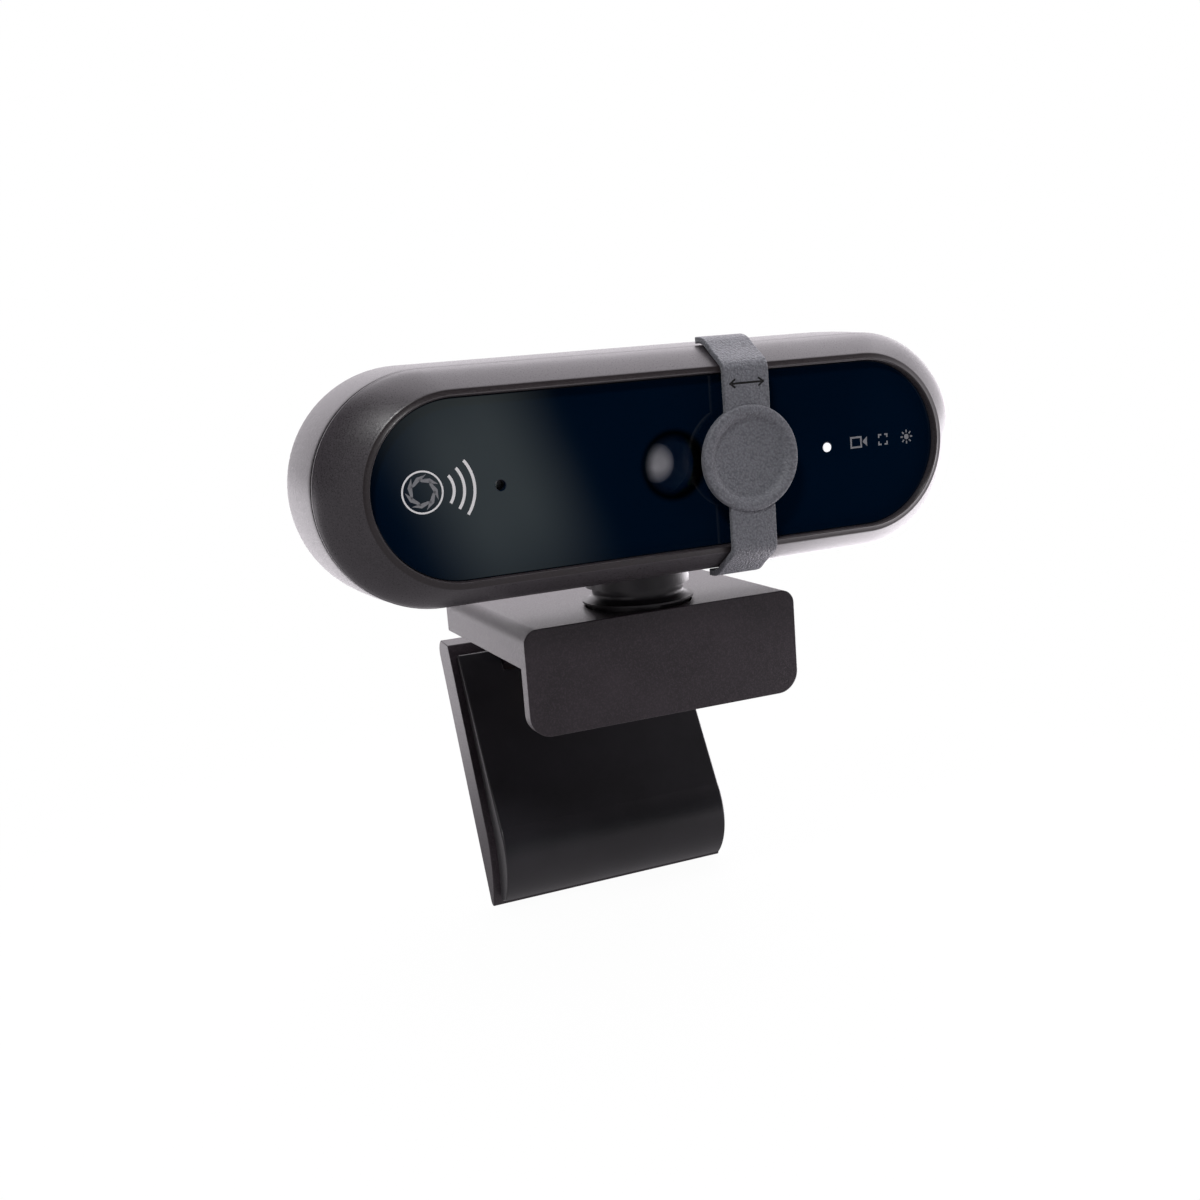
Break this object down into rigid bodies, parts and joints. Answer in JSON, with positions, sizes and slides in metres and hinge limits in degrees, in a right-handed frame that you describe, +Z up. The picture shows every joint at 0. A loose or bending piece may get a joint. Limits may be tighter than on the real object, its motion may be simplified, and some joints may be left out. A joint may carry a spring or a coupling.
{
  "type": "webcam",
  "caption": "Pill-shaped webcam with a glass front and a sliding privacy cover, tilting and panning on a monitor clip with a hinged rear leg and a tripod thread.",
  "frame": {"origin": "centre of the mouth of the tripod thread, in the underside of the clip's top plate", "axes": "+Z up, -Y out of the lens towards the person on camera, +X along the long camera head, to the right as seen from the front"},
  "size_m": [0.106, 0.0602, 0.0957],
  "materials": {
    "shell_plastic": "fine spark texture, charcoal grey",
    "clip_plastic": "matte moulded, brownish black",
    "cover_plastic": "soft-touch with a fine leather grain",
    "gloss_black": "polished black",
    "pad_rubber": "satin black rubber",
    "insert_brass": "turned",
    "steel": "zinc plated",
    "nylon": "natural nylon",
    "window_glass": "back-printed black, polished face",
    "clear_glass": "clear, coated",
    "tape_black": "foam adhesive tape",
    "board": "green solder mask",
    "chip_black": "moulded epoxy",
    "lens_black": "moulded black with fine threads",
    "mic_can": "satin can",
    "lamp_white": "milky lamp"
  },
  "bodies": {
    "clip": {"clip_bracket": "clip_plastic", "rest_pad": "pad_rubber", "lip_pad": "pad_rubber", "tripod_insert": "insert_brass", "pan_washer": "nylon", "hinge_pin": "steel"},
    "leg": {"leg_shell": "clip_plastic", "leg_pad": "pad_rubber"},
    "neck": {"neck_ball": "gloss_black", "pan_screw": "steel", "spring_washer": "steel", "tilt_stud": "steel", "clamp_cap": "steel", "clamp_spring": "steel", "clamp_nut": "steel"},
    "head": {"front_bezel": "shell_plastic", "rear_housing": "shell_plastic", "neck_collar": "gloss_black", "microphone_boot": "pad_rubber", "cable_grommet": "pad_rubber", "bezel_screws": "steel", "board_screws": "steel", "collar_screws": "steel", "front_glass": "window_glass", "front_lens": "clear_glass", "rear_lens": "clear_glass", "infrared_filter": "clear_glass", "light_pipe": "clear_glass", "glass_tape": "tape_black", "front_board": "board", "sensor_board": "board", "image_sensor": "chip_black", "video_chip": "chip_black", "cable_header": "chip_black", "lens_holder": "lens_black", "lens_barrel": "lens_black", "microphone": "mic_can", "status_led": "lamp_white"},
    "cover": {"privacy_cover": "cover_plastic"}
  },
  "joints": [
    {"name": "leg_hinge", "type": "hinge", "parent": "clip", "child": "leg", "pos_m": [0, 0.0155, -0.0043], "axis": [1, 0, 0], "range_deg": [-45, 65]},
    {"name": "head_pan", "type": "hinge", "parent": "clip", "child": "neck", "pos_m": [0, -0.016, 0.0062], "axis": [0, 0, 1], "continuous": true},
    {"name": "head_tilt", "type": "hinge", "parent": "neck", "child": "head", "pos_m": [0, -0.016, 0.0093], "axis": [1, 0, 0], "range_deg": [-10, 10]},
    {"name": "cover_slide", "type": "slide", "parent": "head", "child": "cover", "axis": [1, 0, 0], "range_m": [-0.04, 0.0175]}
  ]
}
